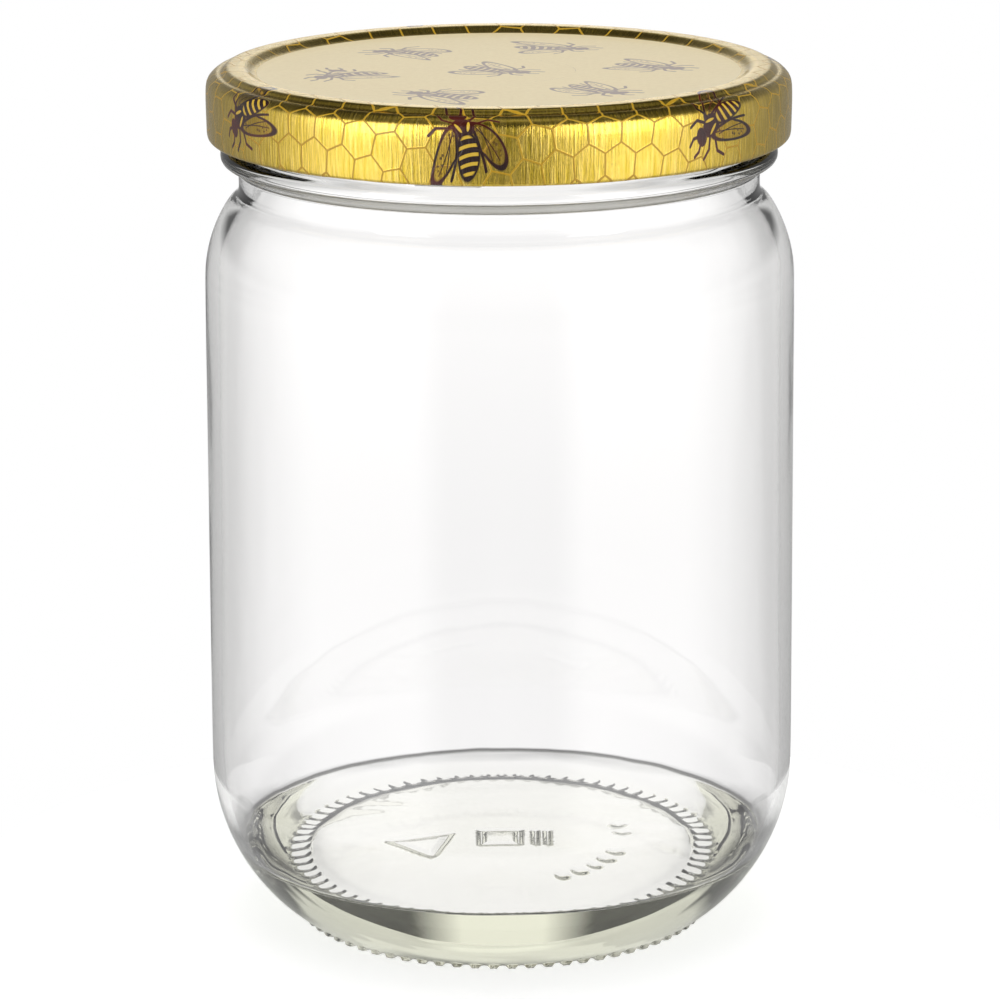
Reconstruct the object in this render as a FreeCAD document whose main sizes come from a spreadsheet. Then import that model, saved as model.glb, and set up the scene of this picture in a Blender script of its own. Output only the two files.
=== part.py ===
import FreeCAD, Part
import os
import Sketcher
from FreeCAD import Vector

# Twist-off jar of clear glass with a tinplate lid. Millimetres, +Z up, the origin on the axis
# at the level that the bearing ring stands on.

# Driving dimensions, in the order that a jar is drawn: base, heel, body, shoulder, finish, lid.
dimensions = {
    "bearing_inner": (29.2, "inner radius of the bearing ring"),
    "bearing_outer": (30.8, "outer radius of the bearing ring's plain band"),
    "push_up": (2.0, "height of the base's underside at the axis"),
    "push_step": (0.7, "height of the step inside the bearing ring"),
    "knurl_count": (72, "knurls round the bearing ring"),
    "knurl_width": (3.1, "angle that one knurl covers, degrees"),
    "knurl_height": (0.4, "how far a knurl stands out of the heel"),
    "knurl_length": (3.8, "radial reach of a knurl from the plain band"),
    "heel_radius": (43.65, "outer radius at the top of the heel"),
    "heel_height": (24.0, "height of the rounded heel"),
    "body_radius": (43.3, "outer radius at the foot of the shoulder"),
    "body_height": (73.2, "height of the straight body"),
    "wall": (2.1, "glass thickness of the body"),
    "floor": (12.0, "glass thickness of the base, from the bearing ring"),
    "floor_radius": (34.0, "radius of the flat inside floor"),
    "cavity_heel": (7.5, "height of the rounded corner inside the heel"),
    "shoulder_drop": (3.6, "how far the shoulder's round draws in"),
    "shoulder_round": (11.55, "height of the shoulder's round"),
    "shoulder_cone": (1.3, "height from the round up to the neck"),
    "neck_radius": (38.1, "outer radius of the neck"),
    "neck_height": (3.6, "height of the neck below the bead"),
    "bead_depth": (1.4, "how far the bead stands out of the finish"),
    "bead_under": (1.3, "height of the bead's lower slope"),
    "bead_land": (1.5, "height of the bead's outer face"),
    "bead_over": (1.0, "height of the bead's upper slope"),
    "finish_radius": (39.3, "outer radius of the finish wall"),
    "finish_height": (9.7, "height of the finish above the bead"),
    "mouth_radius": (36.2, "inner radius of the mouth"),
    "thread_count": (6, "thread starts, one for each lug"),
    "thread_depth": (1.6, "how far a thread stands out of the finish wall"),
    "thread_height": (2.2, "height of a thread at its root"),
    "thread_crest": (1.0, "height of a thread at its crest"),
    "thread_rise": (3.0, "climb of a thread from end to end"),
    "thread_sweep": (64.0, "angle that a thread covers, degrees"),
    "thread_gap": (0.1, "gap between the bead and the low end of a thread"),
    "rim_round": (0.7, "edge radius of the rim"),
    "sheet": (0.3, "thickness of the lid's tinplate"),
    "seal_height": (1.05, "thickness of the sealing ring"),
    "seal_width": (1.8, "radial width of the sealing ring"),
    "seal_inset": (0.1, "gap from the ring to the rim's outer edge"),
    "lid_height": (10.4, "height of the whole lid"),
    "lid_clearance": (0.3, "radial gap between the threads and the lid's hem"),
    "hem_radius": (0.75, "outer radius of the rolled hem"),
    "crest_gap": (0.3, "radial gap between the rim and the lid's sealing channel"),
    "crest_width": (2.9, "radial width of the lid's raised ring"),
    "crest_step": (0.8, "step from the raised ring down to the ledge"),
    "crest_lean": (0.3, "radial lean of that step"),
    "corner": (1.2, "size of the lid's outer corner"),
    "panel_drop": (1.1, "depth of the lid's centre panel"),
    "panel_slope": (1.7, "radial width of the slope round the panel"),
    "lug_width": (9.0, "angle that a lug covers, degrees"),
    "lug_height": (1.0, "height of a lug"),
    "lug_gap": (0.35, "radial gap between a lug and the finish wall"),
    "lug_place": (52.0, "angle from a thread's low end to the middle of its lug, degrees"),
    "first_thread": (-112.0, "angle of the first thread's low end, degrees"),
}

doc = FreeCAD.newDocument("HoneyJar")
sheet = doc.addObject("Spreadsheet::Sheet", "Sizes")
for row, (alias, (value, note)) in enumerate(dimensions.items(), start=1):
    sheet.set(f"A{row}", alias)
    sheet.set(f"B{row}", str(value))
    sheet.set(f"C{row}", note)
    sheet.setAlias(f"B{row}", alias)
doc.recompute()


class Size:
    """A length with its value now and the expression that keeps it bound to the sheet."""

    def __init__(self, value, text):
        self.value = value
        self.text = text

    def join(self, other, sign, value):
        text = other.text if isinstance(other, Size) else str(other)
        return Size(value, f"({self.text} {sign} {text})")

    def __add__(self, other):
        return self.join(other, "+", self.value + number(other))

    def __sub__(self, other):
        return self.join(other, "-", self.value - number(other))

    def __mul__(self, other):
        return self.join(other, "*", self.value * number(other))

    def __truediv__(self, other):
        return self.join(other, "/", self.value / number(other))

    def root(self):
        return Size(self.value ** 0.5, f"sqrt({self.text})")


def number(size):
    return size.value if isinstance(size, Size) else size


def size(alias):
    return Size(float(sheet.get(alias)), f"Sizes.{alias}")


def new_body(name):
    body = doc.addObject("PartDesign::Body", name)
    body.Label = name
    return body


def plane(body, role):
    return next(item for item in body.Origin.OriginFeatures if item.Role == role)


def arc_between(start, end, level, turn):
    """Arc from start to end with its centre at the height level, turning ccw or cw."""
    across = end.x - start.x
    centre_x = ((end.x ** 2 + (end.y - level) ** 2) - (start.x ** 2 + (start.y - level) ** 2)) / (2 * across)
    centre = Vector(centre_x, level, 0)
    circle = Part.Circle(centre, Vector(0, 0, 1), (start - centre).Length)
    first, last = (start, end) if turn == "ccw" else (end, start)
    return Part.ArcOfCircle(circle, circle.parameter(first), circle.parameter(last))


def outline(body, name, corners, bearing=None):
    """Closed sketch in the XZ plane, or in that plane turned about Z by a bearing. A corner is
    (radius, height), or (radius, height, level, turn) where an arc with its centre at the height
    level leads to the next corner."""
    sketch = body.newObject("Sketcher::SketchObject", name)
    sketch.AttachmentSupport = [(plane(body, "XZ_Plane"), "")]
    sketch.MapMode = "FlatFace"
    if bearing is not None:
        sketch.AttachmentOffset = FreeCAD.Placement(Vector(), FreeCAD.Rotation(Vector(0, 1, 0), 1))
        sketch.setExpression("AttachmentOffset.Rotation.Angle", bearing.text)
    points = [Vector(number(corner[0]), number(corner[1]), 0) for corner in corners]
    following = points[1:] + points[:1]
    edges = []
    ends = []
    for corner, start, end in zip(corners, points, following):
        if len(corner) == 2:
            edges.append(Part.LineSegment(start, end))
            ends.append((1, 2))
        else:
            edges.append(arc_between(start, end, number(corner[2]), corner[3]))
            ends.append((1, 2) if corner[3] == "ccw" else (2, 1))
    sketch.addGeometry(edges, False)
    for index, corner in enumerate(corners):
        after = (index + 1) % len(corners)
        sketch.addConstraint(Sketcher.Constraint("Coincident", index, ends[index][1], after, ends[after][0]))
    for index, corner in enumerate(corners):
        place(sketch, "DistanceX", f"radius{index}", index, ends[index][0], corner[0])
        place(sketch, "DistanceY", f"height{index}", index, ends[index][0], corner[1])
        if len(corner) == 4:
            place(sketch, "DistanceY", f"level{index}", index, 3, corner[2])
    return sketch


def place(sketch, kind, name, edge, position, distance):
    """Hold one coordinate of a point: on the axis where it is 0, else bound to the sheet."""
    if number(distance) == 0:
        axis = -2 if kind == "DistanceX" else -1
        sketch.addConstraint(Sketcher.Constraint("PointOnObject", edge, position, axis))
        return
    added = sketch.addConstraint(Sketcher.Constraint(kind, -1, 1, edge, position, number(distance)))
    sketch.renameConstraint(added, name)
    if isinstance(distance, Size):
        sketch.setExpression(f"Constraints.{name}", distance.text)


def spin(body, kind, name, sketch, angle=None):
    """Revolution or Groove about Z: a full turn, or angle degrees to both sides of the XZ plane."""
    feature = body.newObject(f"PartDesign::{kind}", name)
    feature.Profile = sketch
    feature.ReferenceAxis = (sketch, ["V_Axis"])
    if angle is None:
        feature.Angle = 360
    else:
        feature.Midplane = True
        feature.setExpression("Angle", angle.text)
    sketch.Visibility = False
    doc.recompute()
    return feature


def repeat(body, name, feature, count):
    pattern = body.newObject("PartDesign::PolarPattern", name)
    pattern.Originals = [feature]
    pattern.Axis = (plane(body, "Z_Axis"), [""])
    pattern.Angle = 360
    pattern.setExpression("Occurrences", count.text)
    body.Tip = pattern
    doc.recompute()
    return pattern


def soften(body, name, radius, rings):
    """Fillet the circular edges that run round the axis at the given (radius, height) corners."""
    base = body.Tip
    chosen = []
    for index, edge in enumerate(base.Shape.Edges, start=1):
        if not isinstance(edge.Curve, Part.Circle):
            continue
        for ring_radius, height in rings:
            near_radius = abs(edge.Curve.Radius - number(ring_radius)) < 0.01
            if near_radius and abs(edge.Curve.Center.z - number(height)) < 0.01:
                chosen.append(f"Edge{index}")
    fillet = body.newObject("PartDesign::Fillet", name)
    fillet.Base = (base, chosen)
    fillet.setExpression("Radius", radius.text)
    doc.recompute()
    return fillet


# Levels and radii that more than one piece uses.
heel_top = size("heel_height")
body_top = heel_top + size("body_height")
round_top = body_top + size("shoulder_round")
neck_foot = round_top + size("shoulder_cone")
bead_foot = neck_foot + size("neck_height")
bead_low = bead_foot + size("bead_under")
bead_high = bead_low + size("bead_land")
bead_top = bead_high + size("bead_over")
rim_top = bead_top + size("finish_height")
finish_radius = size("finish_radius")
thread_radius = finish_radius + size("thread_depth")
bead_radius = finish_radius + size("bead_depth")
thread_low = bead_top + size("thread_gap")
seal_top = rim_top + size("seal_height")


def heel_surface(radius, proud):
    """Height of the heel's outside at a radius, measured on an arc that stands proud of it."""
    across = size("heel_radius") - size("bearing_outer")
    curve = (across * across + heel_top * heel_top) / (across * 2)
    centre = size("heel_radius") - curve
    reach = curve + proud
    aside = radius - centre
    return heel_top - (reach * reach - aside * aside).root()


def make_jar():
    body = new_body("jar_glass")
    shoulder_radius = size("body_radius") - size("shoulder_drop")
    outside = outline(body, "JarOutside", [
        (0, size("push_up")),
        (size("bearing_inner") - size("push_step"), size("push_step")),
        (size("bearing_inner"), 0),
        (size("bearing_outer"), 0, heel_top, "ccw"),
        (size("heel_radius"), heel_top),
        (size("body_radius"), body_top, body_top, "ccw"),
        (shoulder_radius, round_top),
        (size("neck_radius"), neck_foot),
        (size("neck_radius"), bead_foot),
        (bead_radius, bead_low),
        (bead_radius, bead_high),
        (finish_radius, bead_top),
        (finish_radius, rim_top),
        (0, rim_top),
    ])
    spin(body, "Revolution", "Jar", outside)
    wall = size("wall")
    mouth = size("mouth_radius")
    inner_neck = size("neck_radius") - wall
    cavity_top = size("floor") + size("cavity_heel")
    inside = outline(body, "JarInside", [
        (0, size("floor")),
        (size("floor_radius"), size("floor"), cavity_top, "ccw"),
        (size("heel_radius") - wall, cavity_top),
        (size("body_radius") - wall, body_top, body_top, "ccw"),
        (shoulder_radius - wall, round_top - wall / 2),
        (inner_neck, neck_foot - wall / 2),
        (mouth, bead_high),
        (mouth, rim_top),
        (0, rim_top),
    ])
    spin(body, "Groove", "Cavity", inside)
    soften(body, "RimEdges", size("rim_round"), [(finish_radius, rim_top), (mouth, rim_top)])
    soften(body, "BeadEdges", size("bead_under") / 2, [(bead_radius, bead_low), (bead_radius, bead_high)])
    soften(body, "NeckFoot", size("shoulder_cone"), [(size("neck_radius"), neck_foot)])
    soften(body, "ShoulderEdge", size("shoulder_cone") * 2, [(shoulder_radius, round_top)])
    make_knurls(body)
    make_threads(body)
    return body


def make_knurls(body):
    """Ribs that stand out of the heel beside the bearing ring, one profile swept through a few degrees."""
    band = size("bearing_outer")
    proud = size("knurl_height")
    start = band - size("knurl_height") * 2
    middle = band + size("knurl_length") / 2
    far = band + size("knurl_length")
    foot = band + proud * 2
    knurl = outline(body, "KnurlOutline", [
        (start, 0),
        (foot, 0),
        (middle, heel_surface(middle, proud)),
        (far, heel_surface(far, 0) + proud),
        (start, heel_surface(far, 0) + proud),
    ])
    rib = spin(body, "Revolution", "Knurl", knurl, size("knurl_width"))
    repeat(body, "Knurls", rib, size("knurl_count"))


def make_threads(body):
    """Six starts of a right-hand thread. Each climbs from just above the bead."""
    root = finish_radius - size("thread_depth") / 4
    lean = (size("thread_height") - size("thread_crest")) / 2
    section = outline(body, "ThreadSection", [
        (root, thread_low),
        (thread_radius, thread_low + lean),
        (thread_radius, thread_low + lean + size("thread_crest")),
        (root, thread_low + size("thread_height")),
    ], size("first_thread"))
    thread = body.newObject("PartDesign::AdditiveHelix", "Thread")
    thread.Profile = section
    thread.ReferenceAxis = (section, ["V_Axis"])
    thread.Mode = 2
    thread.setExpression("Height", size("thread_rise").text)
    thread.setExpression("Turns", (size("thread_sweep") / 360).text)
    section.Visibility = False
    doc.recompute()
    repeat(body, "Threads", thread, size("thread_count"))


def make_seal():
    """Ring of sealing compound that lies face to face on the rim, under the lid's channel."""
    body = new_body("lid_seal")
    outer = finish_radius - size("seal_inset")
    inner = outer - size("seal_width")
    ring = outline(body, "SealSection", [
        (inner, rim_top),
        (outer, rim_top),
        (outer, seal_top),
        (inner, seal_top),
    ])
    spin(body, "Revolution", "Seal", ring)
    return body


def make_lid():
    """Tinplate cap: centre panel, raised sealing channel, ledge, skirt, rolled hem and lugs."""
    body = new_body("lid")
    sheet_metal = size("sheet")
    lid_top = seal_top + sheet_metal
    lid_foot = lid_top - size("lid_height")
    hem = size("hem_radius")
    hem_level = lid_foot + hem
    skirt = thread_radius + size("lid_clearance") + hem * 2
    crest_outer = finish_radius + size("crest_gap") + sheet_metal
    crest_inner = crest_outer - size("crest_width")
    ledge = lid_top - size("crest_step")
    ledge_inner = crest_outer + size("crest_lean")
    panel = lid_top - size("panel_drop")
    panel_radius = crest_inner - size("panel_slope")
    corner = size("corner")
    half = sheet_metal / 2
    section = outline(body, "LidSection", [
        (0, panel),
        (panel_radius, panel),
        (crest_inner, lid_top),
        (crest_outer, lid_top),
        (ledge_inner, ledge),
        (skirt - corner, ledge),
        (skirt, ledge - corner),
        (skirt, hem_level, hem_level, "cw"),
        (skirt - hem, hem_level + hem),
        (skirt - hem, hem_level + hem - sheet_metal, hem_level, "ccw"),
        (skirt - sheet_metal, hem_level),
        (skirt - sheet_metal, ledge - corner - half),
        (skirt - corner - half, ledge - sheet_metal),
        (ledge_inner - half, ledge - sheet_metal),
        (crest_outer - sheet_metal, seal_top),
        (crest_inner + half, seal_top),
        (panel_radius + half, panel - sheet_metal),
        (0, panel - sheet_metal),
    ])
    spin(body, "Revolution", "Lid", section)
    soften(body, "Corner", corner / 2, [(skirt - corner, ledge), (skirt, ledge - corner)])
    make_lugs(body, skirt, hem_level)
    return body


def make_lugs(body, skirt, hem_level):
    """Lugs pressed inwards from the hem, one below the high end of each thread."""
    tip = finish_radius + size("lug_gap")
    root = skirt - size("hem_radius")
    half = size("lug_height") / 2
    lug = outline(body, "LugSection", [
        (tip, hem_level - half),
        (root, hem_level - half),
        (root, hem_level + half),
        (tip, hem_level + half),
    ], size("first_thread") + size("lug_place"))
    block = spin(body, "Revolution", "Lug", lug, size("lug_width"))
    repeat(body, "Lugs", block, size("thread_count"))


parts = [make_jar(), make_lid(), make_seal()]
doc.recompute()
for item in doc.Objects:
    if "Invalid" in item.State or "Error" in item.State:
        raise RuntimeError(f"{item.Name} is {item.State}")
os.makedirs("parts", exist_ok=True)
for part in parts:
    if part.Shape.isNull() or not part.Shape.isValid() or len(part.Shape.Solids) != 1:
        raise RuntimeError(f"{part.Label} is not one valid solid")
    part.Shape.exportStep(f"parts/{part.Label}.step")
    print(part.Label, round(part.Shape.Volume, 1), "mm3")
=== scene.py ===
import math

import bmesh
import bpy
from mathutils import Matrix, Vector
from mathutils.noise import noise as waveAt


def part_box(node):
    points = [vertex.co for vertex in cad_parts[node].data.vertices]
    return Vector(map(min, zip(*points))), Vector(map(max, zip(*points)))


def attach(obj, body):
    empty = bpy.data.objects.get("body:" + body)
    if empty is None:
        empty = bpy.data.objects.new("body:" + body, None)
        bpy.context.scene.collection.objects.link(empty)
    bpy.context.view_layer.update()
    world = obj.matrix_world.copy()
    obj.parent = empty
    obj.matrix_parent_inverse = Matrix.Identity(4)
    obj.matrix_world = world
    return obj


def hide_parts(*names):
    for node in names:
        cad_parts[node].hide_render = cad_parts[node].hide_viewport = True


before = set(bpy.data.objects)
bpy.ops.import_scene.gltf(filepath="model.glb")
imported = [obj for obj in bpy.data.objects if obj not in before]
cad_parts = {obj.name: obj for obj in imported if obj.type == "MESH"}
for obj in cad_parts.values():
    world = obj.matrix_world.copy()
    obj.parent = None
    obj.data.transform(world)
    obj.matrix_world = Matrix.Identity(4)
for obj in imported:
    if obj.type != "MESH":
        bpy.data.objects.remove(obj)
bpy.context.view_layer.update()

mm = 0.001
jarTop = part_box("jar_glass")[1][2] / mm
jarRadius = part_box("jar_glass")[1][0] / mm
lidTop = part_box("lid")[1][2] / mm
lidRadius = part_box("lid")[1][0] / mm
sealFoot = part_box("lid_seal")[0][2] / mm
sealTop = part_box("lid_seal")[1][2] / mm
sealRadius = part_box("lid_seal")[1][0] / mm


# Shader wiring: a wrapped socket that takes part in sums, and one call for every other node.


class Wire:
    def __init__(self, socket):
        self.socket = socket

    def math(self, operation, *others):
        inputs = dict(enumerate((self,) + others))
        return addNode(self.socket.id_data, "ShaderNodeMath", {"operation": operation}, inputs)

    def vector(self, operation, other, output=0):
        settings = {"operation": operation}
        return addNode(self.socket.id_data, "ShaderNodeVectorMath", settings, {0: self, 1: other}, output)

    def __add__(self, other):
        return self.math("ADD", other)

    def __sub__(self, other):
        return self.math("SUBTRACT", other)

    def __rsub__(self, other):
        return (self * -1) + other

    def __mul__(self, other):
        return self.math("MULTIPLY", other)

    def __truediv__(self, other):
        return self.math("DIVIDE", other)

    __radd__ = __add__
    __rmul__ = __mul__

    def size(self):
        return self.math("ABSOLUTE")

    def least(self, other):
        return self.math("MINIMUM", other)

    def most(self, other):
        return self.math("MAXIMUM", other)

    def clamped(self):
        return self.most(0.0).least(1.0)

    def under(self, edge, soft):      # 1 below the edge and 0 above it, with a soft change between
        return ((edge - self) / soft + 0.5).clamped()

    def length(self):
        return addNode(self.socket.id_data, "ShaderNodeVectorMath", {"operation": "LENGTH"}, {0: self}, 1)

    def scaled(self, factor):         # a vector times a number
        settings = {"operation": "SCALE"}
        return addNode(self.socket.id_data, "ShaderNodeVectorMath", settings, {0: self, "Scale": factor})

    def turned(self, angle):          # a vector turned about the axis
        settings = {"rotation_type": "Z_AXIS"}
        inputs = {"Vector": self, "Angle": angle}
        return addNode(self.socket.id_data, "ShaderNodeVectorRotate", settings, inputs)


def addNode(tree, kind, settings, inputs, output=0):
    node = tree.nodes.new(kind)
    for name, value in settings.items():
        if name == "stops":
            fillRamp(node.color_ramp, value)
        else:
            setattr(node, name, value)
    for key, value in inputs.items():
        if isinstance(value, Wire):
            tree.links.new(value.socket, node.inputs[key])
        else:
            node.inputs[key].default_value = value
    return Wire(node.outputs[output])


def fillRamp(ramp, stops):
    while len(ramp.elements) < len(stops):
        ramp.elements.new(1.0)
    for element, (place, colour) in zip(ramp.elements, stops):
        element.position = place
        element.color = colour


def grey(tree, place, stops):         # a level read from a list of (place, level)
    colours = [(where, (level, level, level, 1)) for where, level in stops]
    return addNode(tree, "ShaderNodeValToRGB", {"stops": colours}, {0: place})


def newMaterial(name):
    material = bpy.data.materials.new(name)
    material.use_nodes = True
    material.node_tree.nodes.clear()
    return material, material.node_tree


def finishMaterial(tree, surface, volume=None):
    outlet = tree.nodes.new("ShaderNodeOutputMaterial")
    tree.links.new(surface.socket, outlet.inputs["Surface"])
    if volume:
        tree.links.new(volume.socket, outlet.inputs["Volume"])


def addBump(tree, height, strength, distance):
    return addNode(tree, "ShaderNodeBump", {}, {"Strength": strength, "Distance": distance, "Height": height})


def mixColours(tree, factor, first, second):
    return addNode(tree, "ShaderNodeMix", {"data_type": "RGBA"}, {0: factor, 6: first, 7: second}, 2)


def mixVectors(tree, factor, first, second):
    return addNode(tree, "ShaderNodeMix", {"data_type": "VECTOR"}, {0: factor, 4: first, 5: second}, 1)


def mixNumbers(factor, first, second):
    return (1 - factor) * first + factor * second


def pack(tree, x, y, z=0.0):
    return addNode(tree, "ShaderNodeCombineXYZ", {}, {0: x, 1: y, 2: z})


def unpack(wire):
    first = addNode(wire.socket.id_data, "ShaderNodeSeparateXYZ", {}, {0: wire})
    return [Wire(socket) for socket in first.socket.node.outputs]


def objectPlace(tree):                # millimetres in the part's own frame
    return addNode(tree, "ShaderNodeTexCoord", {}, {}, "Object").scaled(1 / mm)


def lightPath(tree, *names):
    outputs = addNode(tree, "ShaderNodeLightPath", {}, {}).socket.node.outputs
    return [Wire(outputs[name]) for name in names]


def cloud(tree, place, scale, detail=2.0, rough=0.5, stretch=(1, 1, 1)):
    moved = addNode(tree, "ShaderNodeMapping", {}, {"Vector": place, "Scale": stretch})
    inputs = {"Vector": moved, "Scale": scale, "Detail": detail, "Roughness": rough}
    return addNode(tree, "ShaderNodeTexNoise", {}, inputs, 0)


# Meshes: an outline in (radius, height) is drawn once and spun about the axis.


def runTo(outline, end, pieces=1):
    start = Vector(outline[-1])
    for step in range(1, pieces + 1):
        outline.append(tuple(start.lerp(Vector(end), step / pieces)))


def arcTo(outline, end, level, pieces):   # an arc whose centre lies at the height level
    startRadius, startHeight = outline[-1]
    endRadius, endHeight = end
    startSquare = startRadius ** 2 + (startHeight - level) ** 2
    endSquare = endRadius ** 2 + (endHeight - level) ** 2
    middle = (endSquare - startSquare) / (2 * (endRadius - startRadius))
    reach = math.hypot(startRadius - middle, startHeight - level)
    first = math.atan2(startHeight - level, startRadius - middle)
    last = math.atan2(endHeight - level, endRadius - middle)
    for step in range(1, pieces + 1):
        angle = first + (last - first) * step / pieces
        outline.append((middle + reach * math.cos(angle), level + reach * math.sin(angle)))


def relaxed(outline, passes, closed=False):   # rounds the corners of a finely divided outline
    points = [Vector(point) for point in outline]
    for turn in range(passes):
        before = points[-1:] + points[:-1]
        after = points[1:] + points[:1]
        eased = [0.25 * last + 0.5 * point + 0.25 * following
                 for last, point, following in zip(before, points, after)]
        if not closed:
            eased[0], eased[-1] = points[0], points[-1]
        points = eased
    return points


def spun(outline, steps, closed=False):       # one sixth is spun and then copied round
    shape = bmesh.new()
    verts = [shape.verts.new((radius * mm, 0, height * mm)) for radius, height in outline]
    pairs = list(zip(verts, verts[1:]))
    if closed:
        pairs.append((verts[-1], verts[0]))
    edges = [shape.edges.new(pair) for pair in pairs]
    sectors = 6
    bmesh.ops.spin(shape, geom=verts + edges, cent=(0, 0, 0), axis=(0, 0, 1), angle=math.tau / sectors,
                   steps=steps // sectors, use_merge=False, use_duplicate=False)
    sector = shape.verts[:] + shape.edges[:] + shape.faces[:]
    for number in range(1, sectors):
        copied = bmesh.ops.duplicate(shape, geom=sector)["geom"]
        corners = [item for item in copied if isinstance(item, bmesh.types.BMVert)]
        turn = Matrix.Rotation(math.tau * number / sectors, 3, "Z")
        bmesh.ops.rotate(shape, verts=corners, cent=(0, 0, 0), matrix=turn)
    bmesh.ops.remove_doubles(shape, verts=shape.verts, dist=1e-6)
    bmesh.ops.recalc_face_normals(shape, faces=shape.faces)
    return shape


def polar(vert):                      # radius, degrees round the axis and height, in millimetres
    radius = math.hypot(vert.co.x, vert.co.y) / mm
    return radius, math.degrees(math.atan2(vert.co.y, vert.co.x)), vert.co.z / mm


def swell(vert, radius, proud):       # moves a point straight away from the axis
    vert.co.x *= 1 + proud / radius
    vert.co.y *= 1 + proud / radius


def ramp(value, start, end):          # 0 before the start, 1 past the end, smooth between
    share = min(max((value - start) / (end - start), 0.0), 1.0)
    return share * share * (3 - 2 * share)


def hump(value, half):                # 1 in the middle, 0 at half either way, round in between
    return 0.5 + 0.5 * math.cos(math.pi * min(abs(value) / half, 1.0))


def spoke(reach, degrees, centre=(0, 0)):
    angle = math.radians(degrees)
    return Vector((centre[0] + reach * math.cos(angle), centre[1] + reach * math.sin(angle)))


def finishPiece(name, shape, materials, node, sharp=40):
    mesh = bpy.data.meshes.new(name)
    shape.to_mesh(mesh)
    shape.free()
    for material in materials:
        mesh.materials.append(material)
    mesh.shade_smooth()
    mesh.set_sharp_from_angle(angle=math.radians(sharp))
    piece = bpy.data.objects.new(name, mesh)
    bpy.context.scene.collection.objects.link(piece)
    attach(piece, "root")
    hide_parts(node)
    print(name, len(mesh.vertices), "points", len(mesh.polygons), "faces")
    return piece


# The jar, from the axis under the base, up the outside, over the rim and down the inside.

jar = {
    "columns": 432,
    "rings": [(0.0, 1.0, 1), (0.7, 0.35, 20), (7.8, 0.45, 31)],   # under the base: first, gap, count
    "lastRings": [23.0, 25.0, 26.8, 27.8],
    "pushUp": 2.0,                    # the underside's height at the axis
    "pushDrop": 1.25,                 # how far the underside falls towards the ring
    "ringInner": 28.6,
    "ringOuter": 30.8,
    "heelHeight": 24.0,
    "heelSteps": 45,
    "heelFine": 12,                   # of which this many lie close together, by the knurls
    "bodyRadius": 43.3,
    "bodyTop": 97.2,
    "shoulderRadius": 39.7,
    "shoulderTop": 108.75,
    "neckRadius": 38.1,
    "neckFoot": 110.05,
    "beadFoot": 113.65,
    "beadRadius": 40.7,
    "beadLow": 114.95,
    "beadHigh": 116.45,
    "finishRadius": 39.3,
    "finishFoot": 117.45,
    "mouthRadius": 36.2,
    "wall": 2.1,
    "heelWall": 1.7,
    "floorMiddle": 14.6,              # the inside floor is a low dome
    "floorEdge": 11.6,
    "floorCorner": 1.2,               # how softly the inside wall turns into the floor
    "floorLift": 0.25,                # and how high above the edge that turn ends
    "floorCurve": 1.66,
    "unevenness": 0.16,               # waves that pressing leaves on the inside near the floor
    "waveFoot": 10.0,                 # they stay above this height
    "waveReach": 28.0,                # and this near the heel's centre, which keeps them off the outside
    "seamHeight": 112.84,             # mould parting line round the neck
    "seamHalf": 0.2,
    "seamProud": 0.07,
}


def heelCentre():                     # radius of the centre of the heel's arc, level with its top
    foot, top = jar["ringOuter"], jarRadius
    return (top ** 2 - foot ** 2 - jar["heelHeight"] ** 2) / (2 * (top - foot))


def jarOutline():
    outline = []
    radii = [first + gap * step for first, gap, count in jar["rings"] for step in range(count)]
    for radius in radii + jar["lastRings"]:
        drop = jar["pushDrop"] * (radius / jar["ringInner"]) ** 2
        outline.append((radius, jar["pushUp"] - drop))
    ringTop = knurls["proud"]         # the knurls stand down from the ring to the table
    runTo(outline, (jar["ringInner"], ringTop), 3)
    runTo(outline, (jar["ringOuter"], ringTop), 8)
    coarse = len(outline) + jar["heelFine"]
    arcTo(outline, (jarRadius, jar["heelHeight"]), jar["heelHeight"], jar["heelSteps"])
    outline[coarse:] = outline[coarse::2]
    runTo(outline, (jar["bodyRadius"], jar["bodyTop"]), 8)
    arcTo(outline, (jar["shoulderRadius"], jar["shoulderTop"]), jar["bodyTop"], 12)
    runTo(outline, (jar["neckRadius"], jar["neckFoot"]), 4)
    runTo(outline, (jar["neckRadius"], jar["seamHeight"] - jar["seamHalf"]), 4)
    runTo(outline, (jar["neckRadius"] + jar["seamProud"], jar["seamHeight"]))
    runTo(outline, (jar["neckRadius"], jar["seamHeight"] + jar["seamHalf"]))
    runTo(outline, (jar["neckRadius"], jar["beadFoot"]), 2)
    runTo(outline, (jar["beadRadius"], jar["beadLow"]), 5)
    runTo(outline, (jar["beadRadius"], jar["beadHigh"]), 4)
    runTo(outline, (jar["finishRadius"], jar["finishFoot"]), 4)
    runTo(outline, (jar["finishRadius"], jarTop), 24)
    runTo(outline, (jar["mouthRadius"], jarTop), 6)
    addInside(outline)
    return relaxed(outline, 2)


def addInside(outline):               # one wall thickness down to the heel, where it is thinner
    wall = jar["wall"]
    runTo(outline, (jar["mouthRadius"], jar["beadHigh"]), 4)
    runTo(outline, (jar["neckRadius"] - wall, jar["neckFoot"] - wall / 2), 5)
    runTo(outline, (jar["shoulderRadius"] - wall, jar["shoulderTop"] - wall / 2), 3)
    arcTo(outline, (jar["bodyRadius"] - wall, jar["bodyTop"]), jar["bodyTop"], 10)
    runTo(outline, (jarRadius - jar["heelWall"], jar["heelHeight"]), 8)
    addInnerHeel(outline)


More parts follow.
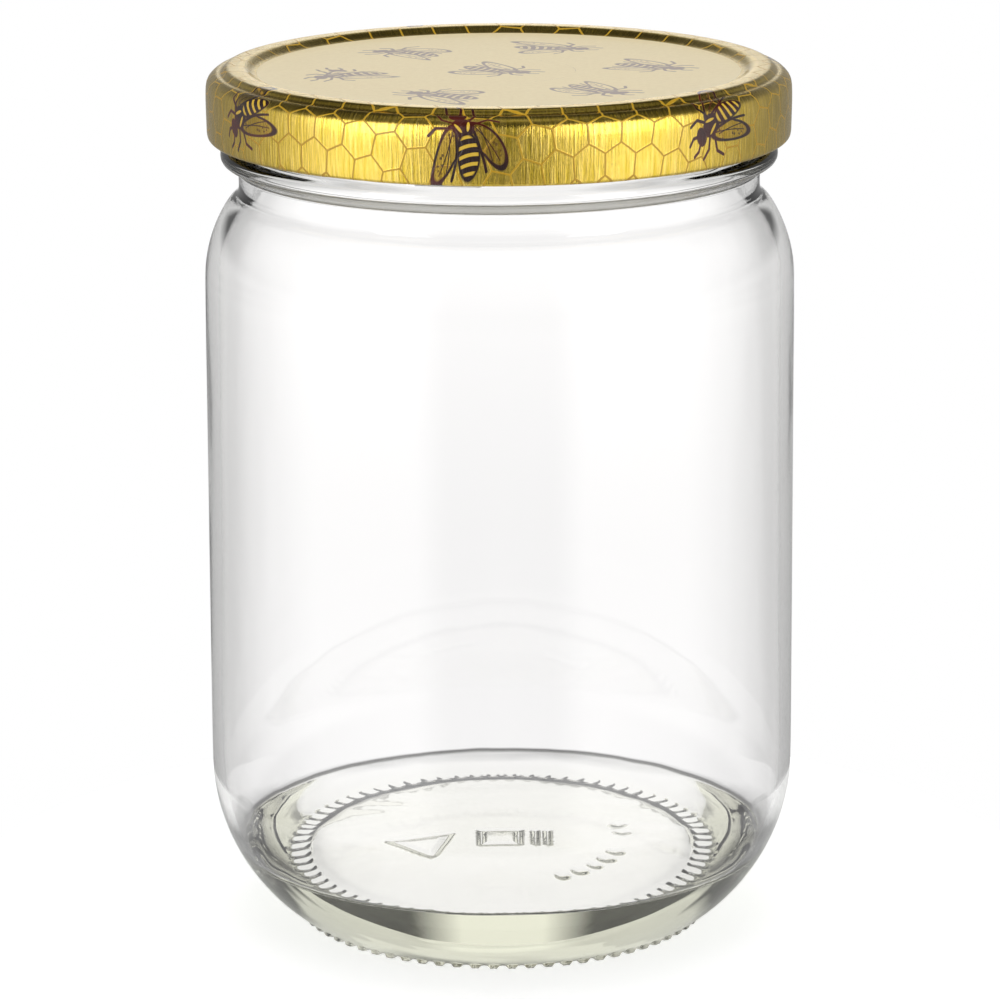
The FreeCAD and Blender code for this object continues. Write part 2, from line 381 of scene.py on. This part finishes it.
def addInnerHeel(outline):            # follows the outer heel down to a tight corner, then the dome
    middle = heelCentre()
    reach = jarRadius - jar["heelWall"] - middle
    last = math.asin((jar["heelHeight"] - jar["floorEdge"]) / reach)
    curveStart = 0.94 * last          # the corner's curve begins just above the floor
    steps = 9
    for step in range(1, steps + 1):
        angle = curveStart * step / steps
        outline.append((middle + reach * math.cos(angle), jar["heelHeight"] - reach * math.sin(angle)))
    start = Vector(outline[-1])
    corner = Vector((middle + reach * math.cos(last), jar["floorEdge"]))
    end = corner + Vector((-jar["floorCorner"], jar["floorLift"]))
    for share in [step / steps for step in range(1, steps + 1)]:      # a curve through the corner
        outline.append(tuple(start.lerp(corner, share).lerp(corner.lerp(end, share), share)))
    edge, foot = outline[-1]
    domeSteps = 14
    for share in [1 - step / domeSteps for step in range(1, domeSteps + 1)]:
        rise = (jar["floorMiddle"] - foot) * (1 - share ** jar["floorCurve"])
        outline.append((edge * share, foot + rise))


threads = {
    "count": 6,
    "first": -112.0,                  # degrees, low end of the first thread
    "sweep": 64.0,
    "flat": 0.12,                     # share of the sweep before a thread climbs
    "fade": 9.0,                      # degrees over which an end runs out
    "rise": 3.0,
    "middle": 118.65,                 # height of a thread's middle at its low end
    "half": 1.25,
    "proud": 1.6,
    "fullness": 0.6,                  # below 1 a thread is fuller than a plain wave
}


def raiseThreads(shape):              # each start has a flat low end, then climbs to the right
    pitch = 360 / threads["count"]
    sweep = threads["sweep"]
    for vert in shape.verts:
        radius, azimuth, height = polar(vert)
        if radius < jar["finishRadius"] - 1.0 or height < jar["finishFoot"] - 0.3:
            continue
        proud = 0.0
        for start in range(threads["count"]):
            along = (azimuth - threads["first"] - start * pitch) % 360
            if along > sweep:
                continue
            middle = threads["middle"] + threads["rise"] * ramp(along, threads["flat"] * sweep, sweep)
            ends = ramp(along, 0, threads["fade"]) * ramp(sweep - along, 0, threads["fade"])
            section = hump(height - middle, threads["half"]) ** threads["fullness"]
            proud = max(proud, ends * section)
        swell(vert, radius, threads["proud"] * proud)


knurls = {
    "count": 72,
    "proud": 0.5,
    "inner": 28.7,                    # the radii that a knurl runs between
    "outer": 31.4,
    "halfWidth": 1.0,
    "crown": 0.55,                    # share of a knurl that stands at full height
    "highest": 6.0,
}


def raiseKnurls(shape):               # short ribs with round ends that the jar stands on
    pitch = 360 / knurls["count"]
    middle = heelCentre()
    halfLength = (knurls["outer"] - knurls["inner"]) / 2
    for vert in shape.verts:
        radius, azimuth, height = polar(vert)
        if height > knurls["highest"] or not knurls["inner"] - 0.2 < radius < knurls["outer"] + 0.2:
            continue
        across = math.radians(azimuth % pitch - pitch / 2) * radius / knurls["halfWidth"]
        along = (radius - knurls["inner"]) / halfLength - 1
        proud = knurls["proud"] * (1 - ramp(math.hypot(across, along ** 3), knurls["crown"], 1.0))
        slope = math.pi / 2           # straight down on the ring, square to the heel outside it
        if radius >= jar["ringOuter"]:
            slope = math.atan2(jar["heelHeight"] - height, radius - middle)
        swell(vert, radius, math.cos(slope) * proud)
        vert.co.z = max(0.0, vert.co.z - math.sin(slope) * proud * mm)


marks = {                             # plain signs of the mould under the base
    "proud": 0.28,
    "half": 0.32,                     # half the width of a drawn line
    "softInside": 0.3,                # how far a line's side slopes, either way of its edge
    "softOutside": 0.35,
    "reach": 21.0,
    "dotRadius": 0.85,
    "dotRing": 17.8,
    "dotAngles": [16.0, 6.0, -21.0, -31.0, -41.0, -51.0, -61.0],
    "triangleCentre": (-11.4, -3.2),
    "triangleReach": 5.2,
    "triangleTurn": 165.0,
    "boxSides": (-3.0, 2.4),
    "barPlaces": (4.8, 6.6),
    "barEnds": (1.4, -4.0),
}


def markStrokes():
    high, low = marks["barEnds"]
    left, right = marks["boxSides"]
    strokes = [(Vector((left, level)), Vector((right, level))) for level in (high, low)]
    for place in marks["boxSides"] + marks["barPlaces"]:
        strokes.append((Vector((place, high)), Vector((place, low))))
    corners = [spoke(marks["triangleReach"], marks["triangleTurn"] + turn, marks["triangleCentre"])
               for turn in (0, 120, 240)]
    strokes += list(zip(corners, corners[1:] + corners[:1]))
    spots = [spoke(marks["dotRing"], angle) for angle in marks["dotAngles"]]
    return strokes + list(zip(spots, spots))


def strokeDistance(point, start, end):
    run = end - start
    share = min(max((point - start).dot(run) / max(run.length_squared, 1e-9), 0.0), 1.0)
    return (point - start - run * share).length


def raiseMarks(shape):
    strokes = markStrokes()
    for vert in shape.verts:
        point = Vector((vert.co.x, vert.co.y)) / mm
        if vert.co.z > 3 * mm or point.length > marks["reach"]:
            continue
        proud = 0.0
        for start, end in strokes:
            half = marks["dotRadius"] if start == end else marks["half"]
            away = strokeDistance(point, start, end)
            proud = max(proud, 1 - ramp(away, half - marks["softInside"], half + marks["softOutside"]))
        vert.co.z -= proud * marks["proud"] * mm


def unevenFloor(shape):               # pressed glass is never quite true inside, most of all by the wall
    middle = heelCentre()
    for vert in shape.verts:
        radius, azimuth, height = polar(vert)
        below = jar["heelHeight"] - height
        if height <= jar["waveFoot"] or below <= 0 or math.hypot(radius - middle, below) > jar["waveReach"]:
            continue
        if radius > jar["neckRadius"] and below < 2:
            continue
        wave = waveAt(vert.co / mm / 9.0) + 0.4 * waveAt(vert.co / mm / 3.5)
        vert.co.z += wave * jar["unevenness"] * ramp(radius, 8, 30) * mm


def makeGlass():
    material, tree = newMaterial("clearGlass")
    ripple = cloud(tree, objectPlace(tree), 0.05, stretch=(1, 1, 0.4))
    inputs = {"Base Color": (0.99, 0.986, 0.99, 1), "Roughness": 0.0, "IOR": 1.5,
              "Transmission Weight": 1.0, "Normal": addBump(tree, ripple, 0.15, 0.0006)}
    glass = addNode(tree, "ShaderNodeBsdfPrincipled", {}, inputs)
    clear = addNode(tree, "ShaderNodeBsdfTransparent", {}, {"Color": (0.93, 0.94, 0.93, 1)})
    shadow = lightPath(tree, "Is Shadow Ray")[0]
    surface = addNode(tree, "ShaderNodeMixShader", {}, {0: shadow, 1: glass, 2: clear})
    tint = addNode(tree, "ShaderNodeVolumeAbsorption", {}, {"Color": (0.74, 0.75, 0.50, 1), "Density": 11.0})
    finishMaterial(tree, surface, tint)
    return material


def makeJar():
    shape = spun(jarOutline(), jar["columns"])
    raiseThreads(shape)
    raiseKnurls(shape)
    raiseMarks(shape)
    unevenFloor(shape)
    finishPiece("jarGlass", shape, [makeGlass()], "jar_glass", 60)


# The lid: one skin of tinplate, from the centre panel out to the rolled hem.

lid = {
    "columns": 360,
    "sheet": 0.3,
    "panelDrop": 1.1,
    "panelRadius": 35.3,
    "crestInner": 37.0,
    "crestOuter": 39.9,
    "ledgeInner": 40.2,
    "ledgeDrop": 0.8,
    "corner": 1.2,
    "skirtHigh": 124.0,               # the skirt is widest here
    "skirtMiddle": (42.66, 122.0),    # radius and height
    "skirtFoot": 42.6,
    "hemOuter": 42.55,
    "hem": 0.75,                      # radius of the rolled edge
    "hemLevel": 118.85,
    "hemTurn": 294,                   # degrees that the edge is rolled through
    "lugs": 6,
    "firstLug": -60.0,
    "lugHalf": 4.5,                   # degrees
    "lugSoft": 1.5,
    "lugReach": 1.5,
    "lugTop": 120.2,
    "lugOuter": 42.2,
}


def lidOutline():
    panel = lidTop - lid["panelDrop"]
    ledge = lidTop - lid["ledgeDrop"]
    outline = [(0.0, panel)]
    runTo(outline, (lid["panelRadius"], panel), 10)
    runTo(outline, (lid["crestInner"], lidTop), 5)
    runTo(outline, (lid["crestOuter"], lidTop), 7)
    runTo(outline, (lid["ledgeInner"], ledge), 3)
    runTo(outline, (lidRadius - lid["corner"] - 0.1, ledge), 4)
    runTo(outline, (lidRadius - 0.08, ledge - lid["corner"]), 4)
    runTo(outline, (lidRadius, lid["skirtHigh"]), 3)
    runTo(outline, lid["skirtMiddle"], 2)
    runTo(outline, (lid["skirtFoot"], lid["hemLevel"] + 0.3), 3)
    outline = relaxed(outline, 2)
    steps = 21
    for step in range(1, steps + 1):
        reach = spoke(lid["hem"], -lid["hemTurn"] * step / steps)
        outline.append((lid["hemOuter"] - lid["hem"] + reach.x, lid["hemLevel"] + reach.y))
    return outline


def pressLugs(shape):                 # the hem is pressed inwards under each thread
    pitch = 360 / lid["lugs"]
    for vert in shape.verts:
        radius, azimuth, height = polar(vert)
        if height > lid["lugTop"] or radius > lid["lugOuter"]:
            continue
        away = abs((azimuth - lid["firstLug"] + pitch / 2) % pitch - pitch / 2)
        press = 1 - ramp(away, lid["lugHalf"] - lid["lugSoft"], lid["lugHalf"] + lid["lugSoft"])
        press *= ramp(lid["lugOuter"] - radius, 0.0, 0.5)
        swell(vert, radius, -lid["lugReach"] * press)


def makeLid():
    shape = spun(lidOutline(), lid["columns"])
    top = max(shape.faces, key=lambda face: face.calc_center_median().z)
    if top.normal.z < 0:
        bmesh.ops.reverse_faces(shape, faces=shape.faces)
    pressLugs(shape)
    piece = finishPiece("printedLid", shape, [makePrint(), makeLacquer()], "lid", 50)
    skin = piece.modifiers.new("sheet", "SOLIDIFY")
    skin.thickness = lid["sheet"] * mm
    skin.offset = -1
    skin.material_offset = 1
    skin.material_offset_rim = 1


def makeLacquer():
    material, tree = newMaterial("insideLacquer")
    mottle = cloud(tree, objectPlace(tree), 0.3)
    colour = mixColours(tree, mottle, (0.80, 0.78, 0.70, 1), (0.86, 0.84, 0.77, 1))
    inputs = {"Base Color": colour, "Roughness": mottle * 0.1 + 0.3, "Coat Weight": 0.3}
    finishMaterial(tree, addNode(tree, "ShaderNodeBsdfPrincipled", {}, inputs))
    return material


# The bee, in the maker's own drawing: millimetres, x along the body towards the head, one half mirrored.

bee = {
    "bend": 0.03,                     # how much the body curves
    "abdomen": ((-2.9, 0), (3.5, 1.75)),          # centre and radii
    "thorax": ((1.3, 0), (1.9, 1.65)),
    "head": ((3.8, 0), (1.0, 1.35)),
    "patch": ((1.3, 0.75), (0.9, 0.22), 20),      # and degrees it is turned
    "foreWing": ((-1.9, 3.2), (4.2, 1.45), -29),
    "hindWing": ((-1.5, 1.95), (2.7, 0.8), -33),
    "bandPitch": 1.25,
    "rim": 0.13,
    "vein": 0.08,
    "stroke": 0.22,
    "veins": [((1.4, 1.4), (-4.6, 4.6)), ((0.6, 2.2), (-4.9, 3.6))],
    "limbs": [
        ((4.3, 0.5), (5.3, 1.1)), ((5.3, 1.1), (6.3, 0.9)),
        ((2.3, 1.1), (3.4, 2.5)), ((3.4, 2.5), (4.9, 2.7)),
        ((1.4, 1.3), (2.0, 3.9)), ((2.0, 3.9), (1.1, 5.3)),
        ((0.3, 1.3), (-2.2, 1.7)), ((-2.2, 1.7), (-5.6, 2.6)),
    ],
}


def segment(tree, place, start, end):         # distance from a straight stroke
    run = (end[0] - start[0], end[1] - start[1], 0.0)
    away = place.vector("SUBTRACT", (start[0], start[1], 0.0))
    share = (away.vector("DOT_PRODUCT", run, 1) / (run[0] ** 2 + run[1] ** 2)).clamped()
    foot = addNode(tree, "ShaderNodeVectorMath", {"operation": "SCALE"}, {0: run, "Scale": share})
    return away.vector("SUBTRACT", foot).length()


def nearest(tree, place, strokes):
    found = None
    for start, end in strokes:
        near = segment(tree, place, start, end)
        found = near if found is None else found.least(near)
    return found


def oval(place, centre, radii, turn=0.0):     # 0 at the middle, 1 on the edge of an ellipse
    moved = place.vector("SUBTRACT", (centre[0], centre[1], 0.0))
    if turn:
        moved = moved.turned(-math.radians(turn))
    return moved.vector("DIVIDE", (radii[0], radii[1], 1.0)).length()


def drawBee(tree, place):             # gives the ink, the light marks on it and the wings' film
    x, y, z = unpack(place)
    side = (y - x * x * bee["bend"]).size()
    half = pack(tree, x, side)
    abdomen = oval(half, *bee["abdomen"])
    body = abdomen.least(oval(half, *bee["thorax"])).least(oval(half, *bee["head"])).under(1.0, 0.1)
    bands = (x * (math.tau / bee["bandPitch"]) + side * side * 0.5).math("SINE").under(-0.35, 0.3)
    light = bands * abdomen.under(0.82, 0.1)
    light = light.most(oval(half, *bee["patch"]).under(1.0, 0.2))
    wings = oval(half, *bee["foreWing"]).least(oval(half, *bee["hindWing"]))
    rim = (wings - 1.0).size().under(bee["rim"], 0.08)
    cells = addNode(tree, "ShaderNodeTexVoronoi", {}, {"Vector": half, "Scale": 1.3}).under(0.3, 0.15)
    veins = nearest(tree, half, bee["veins"]).under(bee["vein"], 0.06).most(cells * 0.8)
    veins = veins * wings.under(0.9, 0.05)
    limbs = nearest(tree, half, bee["limbs"]).under(bee["stroke"], 0.09)
    ink = limbs.most(rim).most(veins).most(body)
    return ink, light * body, wings.under(1.0, 0.05)


# The print: a honeycomb over gold lacquer, a cream centre and bees on both.

printed = {
    "cell": 5.2,                      # width of a honeycomb cell, flat to flat
    "line": 0.26,
    "combTurn": (0.94, 0.342),        # cosine and sine of 20 degrees
    "brushRadius": 43.0,              # sets how close the brushed streaks lie
    "creamRadius": 35.2,
    "skirtBees": 7,
    "skirtRing": 45.0,                # radius of the bees' ring on the flat blank
    "skirtStart": 38.0,
    "panelBees": 6,
    "panelRing": 23.0,
    "middleRadius": 11.5,             # inside it stands the one bee in the middle
    "deepGold": (0.60, 0.42, 0.012, 1),
    "brightGold": (0.95, 0.69, 0.17, 1),
    "comb": (0.60, 0.34, 0.010, 1),
    "film": (0.30, 0.15, 0.015, 1),
    "warmInk": (0.10, 0.012, 0.006, 1),
    "darkInk": (0.02, 0.004, 0.003, 1),
    "glow": (0.85, 0.55, 0.05, 1),
    "deepCream": (0.72, 0.58, 0.31, 1),
    "cream": (0.88, 0.75, 0.45, 1),
    "mauve": (0.24, 0.18, 0.19, 1),
}


def honeycomb(x, y):                  # distance from the nearest cell's edge
    width = printed["cell"]
    rise = width * math.sqrt(3)
    found = None
    for shift in (0.0, 0.5):
        across = ((x + width * shift).math("FLOORED_MODULO", width) - width / 2).size()
        up = ((y + rise * shift).math("FLOORED_MODULO", rise) - rise / 2).size()
        inside = across.most(across * 0.5 + up * (math.sqrt(3) / 2))
        found = inside if found is None else found.least(inside)
    return width / 2 - found


def placeBees(tree, flat, azimuth, reach):    # bees round the skirt, a ring on the panel, one in its middle
    onSkirt = 1 - reach.under(printed["skirtStart"], 0.1)
    count = onSkirt * (printed["skirtBees"] - printed["panelBees"]) + printed["panelBees"]
    ringRadius = onSkirt * (printed["skirtRing"] - printed["panelRing"]) + printed["panelRing"]
    turn = azimuth * count / math.tau + 0.37
    index = turn.math("FLOOR")
    offset = (turn - index - 0.5) / count * math.tau
    heading = (index * 2.39996).math("SINE") * 1.1 + onSkirt * 1.2 + 0.6      # each faces its own way
    ringBee = pack(tree, reach - ringRadius, offset * ringRadius).turned(heading)
    return mixVectors(tree, reach.under(printed["middleRadius"], 0.1), ringBee, flat.turned(0.5))


def makePrint():
    material, tree = newMaterial("goldPrint")
    place = objectPlace(tree)
    x, y, z = unpack(place)
    flat = pack(tree, x, y)
    radius = flat.length()
    azimuth = y.math("ARCTAN2", x)
    drop = ((lidTop - lid["ledgeDrop"]) - z).most(0.0)
    reach = radius + drop             # distance from the centre before the blank was drawn
    spread = reach / radius.most(0.1)
    cosine, sine = printed["combTurn"]
    flatX = x * spread
    flatY = y * spread
    comb = honeycomb(flatX * cosine + flatY * sine, flatY * cosine - flatX * sine)
    lines = comb.under(printed["line"] / 2, 0.1)
    ink, glow, film = drawBee(tree, placeBees(tree, flat, azimuth, reach))

    brushed = pack(tree, azimuth * printed["brushRadius"], z)
    streak = cloud(tree, brushed, 2.6, 4.0, 0.65, (1.0, 0.06, 1.0))
    streak = ((streak - 0.5) * 2.4 + 0.5).clamped()
    gold = mixColours(tree, streak, printed["deepGold"], printed["brightGold"])
    gold = mixColours(tree, lines, gold, printed["comb"])
    gold = mixColours(tree, film * 0.5, gold, printed["film"])
    blotch = cloud(tree, place, 0.12, 3.0).under(0.5, 0.2)
    gold = mixColours(tree, ink, gold, mixColours(tree, blotch, printed["warmInk"], printed["darkInk"]))
    gold = mixColours(tree, glow, gold, printed["glow"])
    speck = cloud(tree, place, 1.4, 5.0, 0.7)
    cream = mixColours(tree, speck, printed["deepCream"], printed["cream"])
    panel = mixColours(tree, ink * 0.85, cream, printed["mauve"])
    panel = mixColours(tree, glow * 0.8, panel, cream)

    onPanel = radius.under(printed["creamRadius"], 0.12)
    onGold = 1 - onPanel
    height = (streak * 1.6 + lines) * onGold + speck * onPanel * 0.5
    inputs = {"Base Color": mixColours(tree, onPanel, gold, panel),
              "Metallic": onGold * (1 - ink * 0.95) * (1 - lines * 0.9),
              "Roughness": mixNumbers(onPanel, streak * 0.14 + 0.14 + lines * 0.15, 0.45),
              "Normal": addBump(tree, height, 0.25, 0.00012),
              "Coat Weight": mixNumbers(onPanel, 0.3, 0.15), "Coat Roughness": 0.05, "Coat IOR": 1.5}
    finishMaterial(tree, addNode(tree, "ShaderNodeBsdfPrincipled", {}, inputs))
    return material


# The sealing compound in the lid's channel.

seal = {"columns": 240, "width": 1.8}


def makeCompound():
    material, tree = newMaterial("sealingCompound")
    mottle = cloud(tree, objectPlace(tree), 0.8, 3.0)
    colour = mixColours(tree, mottle, (0.76, 0.75, 0.70, 1), (0.84, 0.83, 0.79, 1))
    inputs = {"Base Color": colour, "Roughness": mottle * 0.15 + 0.45,
              "Normal": addBump(tree, mottle, 0.2, 0.0002)}
    finishMaterial(tree, addNode(tree, "ShaderNodeBsdfPrincipled", {}, inputs))
    return material


def makeSeal():
    inner = sealRadius - seal["width"]
    outline = [(inner, sealFoot)]
    runTo(outline, (sealRadius, sealFoot), 6)
    runTo(outline, (sealRadius, sealTop), 4)
    runTo(outline, (inner, sealTop), 6)
    runTo(outline, (inner, sealFoot + 0.25), 3)
    shape = spun(relaxed(outline, 1, True), seal["columns"], True)
    finishPiece("sealRing", shape, [makeCompound()], "lid_seal")


# The studio: a white sweep, two tall front boxes, one box above and a soft surround.

studio = {
    "distance": 0.650,
    "height": 0.2315,
    "aside": -0.0001,
    "pitch": 14.545,
    "roll": -0.26,
    "lens": 162.07,
    "floorRadius": 0.085,
    "floorGlow": 0.42,
    # painted shadow: a dark ring round the jar's foot, set by distance from the axis as a share of the
    # floor's radius
    "footShade": [(0.0, 1.0), (0.45, 1.0), (0.53, 0.2), (0.68, 0.2), (0.76, 0.7), (0.84, 1.0)],
    "frontBox": ((0.75, -0.75, 0.45), (0, 0, 0.09), (0.45, 0.9), 3.5),        # place, target, size, power
    "topBox": ((0, 0.1, 1.3), (0, 0, 0.1), (0.9, 0.9), 6.0),
}


def makeCamera():
    data = bpy.data.cameras.new("camera")
    data.lens = studio["lens"]
    data.sensor_width = 36
    camera = bpy.data.objects.new("camera", data)
    camera.location = (studio["aside"], -studio["distance"], studio["height"])
    tilt = Matrix.Rotation(math.radians(90 - studio["pitch"]), 3, "X")
    lean = Matrix.Rotation(math.radians(studio["roll"]), 3, "Z")
    camera.rotation_euler = (tilt @ lean).to_euler()
    bpy.context.scene.collection.objects.link(camera)
    bpy.context.scene.camera = camera
    print("camera set")


def makeFloor():
    material, tree = newMaterial("whiteSweep")
    camera, through = lightPath(tree, "Is Camera Ray", "Is Transmission Ray")
    x, y, z = unpack(objectPlace(tree))
    radius = pack(tree, x, y).length()
    # painted shadow: through the glass the floor glows white, with a dark ring round the jar's foot in place
    # of its contact shadow
    shade = grey(tree, radius / (studio["floorRadius"] / mm), studio["footShade"])
    white = (1, 1, 1, 1)
    lit = addNode(tree, "ShaderNodeBsdfDiffuse", {}, {"Color": (0.86, 0.86, 0.86, 1)})
    strength = camera * studio["floorGlow"]
    glow = addNode(tree, "ShaderNodeEmission", {}, {"Color": white, "Strength": strength})
    direct = addNode(tree, "ShaderNodeAddShader", {}, {0: lit, 1: glow})
    seen = addNode(tree, "ShaderNodeEmission", {}, {"Color": white, "Strength": shade})     # through glass
    finishMaterial(tree, addNode(tree, "ShaderNodeMixShader", {}, {0: through, 1: direct, 2: seen}))
    shape = bmesh.new()
    bmesh.ops.create_circle(shape, cap_ends=True, segments=96, radius=studio["floorRadius"])
    mesh = bpy.data.meshes.new("floor")
    shape.to_mesh(mesh)
    shape.free()
    mesh.materials.append(material)
    floor = bpy.data.objects.new("floor", mesh)
    bpy.context.scene.collection.objects.link(floor)
    print("floor laid")


def addBox(name, place, target, size, power):
    data = bpy.data.lights.new(name, "AREA")
    data.shape = "RECTANGLE"
    data.size, data.size_y = size
    data.energy = power
    lamp = bpy.data.objects.new(name, data)
    lamp.location = place
    lamp.rotation_euler = (Vector(target) - Vector(place)).to_track_quat("-Z", "Y").to_euler()
    lamp.visible_camera = False
    lamp.visible_transmission = False
    bpy.context.scene.collection.objects.link(lamp)
    return lamp


def makeLights():
    (across, front, up), target, size, power = studio["frontBox"]
    addBox("leftBox", (-across, front, up), target, size, power)
    addBox("rightBox", (across, front, up), target, size, power)
    top = addBox("topBox", *studio["topBox"])
    top.visible_glossy = False
    print("lights set")


surround = {                          # levels by turn, 0 in front to 1 behind, and rise, 0 down to 1 up
    "mirrorLevel": 1.7,
    "mirrorTurn": [(0.0, 0.15), (0.11, 0.15), (0.18, 0.82), (0.42, 0.82), (0.52, 0.32), (0.8, 0.16),
                   (0.95, 0.2), (0.985, 0.7)],
    "mirrorRise": [(0.0, 0.4), (0.3, 1.0), (0.62, 1.0), (0.69, 0.12), (0.88, 0.12), (0.96, 0.5)],
    "throughLevel": 1.15,
    "lowTurn": [(0.0, 0.75), (0.14, 0.75), (0.2, 1.0), (0.5, 0.95), (0.6, 0.72), (0.8, 0.68),
                (0.93, 0.72), (0.965, 1.0)],
    "highTurn": [(0.0, 0.75), (0.14, 0.75), (0.25, 0.9), (0.5, 0.3), (0.6, 0.06), (0.92, 0.06),
                 (0.965, 0.95)],
    "highRise": [(0.0, 0.0), (0.5, 0.0), (0.53, 1.0), (0.75, 1.0), (0.9, 0.0)],
    "throughRise": [(0.0, 0.8), (0.38, 0.87), (0.42, 0.87), (0.45, 1.0), (0.8, 1.0), (1.0, 0.8)],
    "plainLevel": 0.4,
}


def makeWorld():
    world = bpy.data.worlds.new("surround")
    world.use_nodes = True
    tree = world.node_tree
    tree.nodes.clear()
    bpy.context.scene.world = world
    x, y, z = unpack(addNode(tree, "ShaderNodeTexCoord", {}, {}, "Generated"))
    turn = x.math("ARCTAN2", y * -1).size() / math.pi
    rise = z.math("ARCSINE") / math.pi + 0.5
    mirrorShade = grey(tree, turn, surround["mirrorTurn"]) * grey(tree, rise, surround["mirrorRise"])
    low = grey(tree, turn, surround["lowTurn"])
    high = grey(tree, turn, surround["highTurn"])
    upward = grey(tree, rise, surround["highRise"])
    throughShade = (low * (1 - upward) + high * upward) * grey(tree, rise, surround["throughRise"])
    camera, glossy, through = lightPath(tree, "Is Camera Ray", "Is Glossy Ray", "Is Transmission Ray")
    mirrored = glossy * (1 - through)         # a refracted ray counts as both
    plain = (1 - (camera + mirrored + through)).clamped()
    level = camera + mirrored * mirrorShade * surround["mirrorLevel"]
    level = level + through * throughShade * surround["throughLevel"] + plain * surround["plainLevel"]
    ground = addNode(tree, "ShaderNodeBackground", {}, {"Color": (1, 1, 1, 1), "Strength": level})
    outlet = tree.nodes.new("ShaderNodeOutputWorld")
    tree.links.new(ground.socket, outlet.inputs["Surface"])
    print("surround set")


makeCamera()
makeFloor()
makeLights()
makeWorld()
makeJar()
makeLid()
makeSeal()
bpy.context.scene.view_settings.view_transform = "Standard"
bpy.context.scene.cycles.use_denoising = True
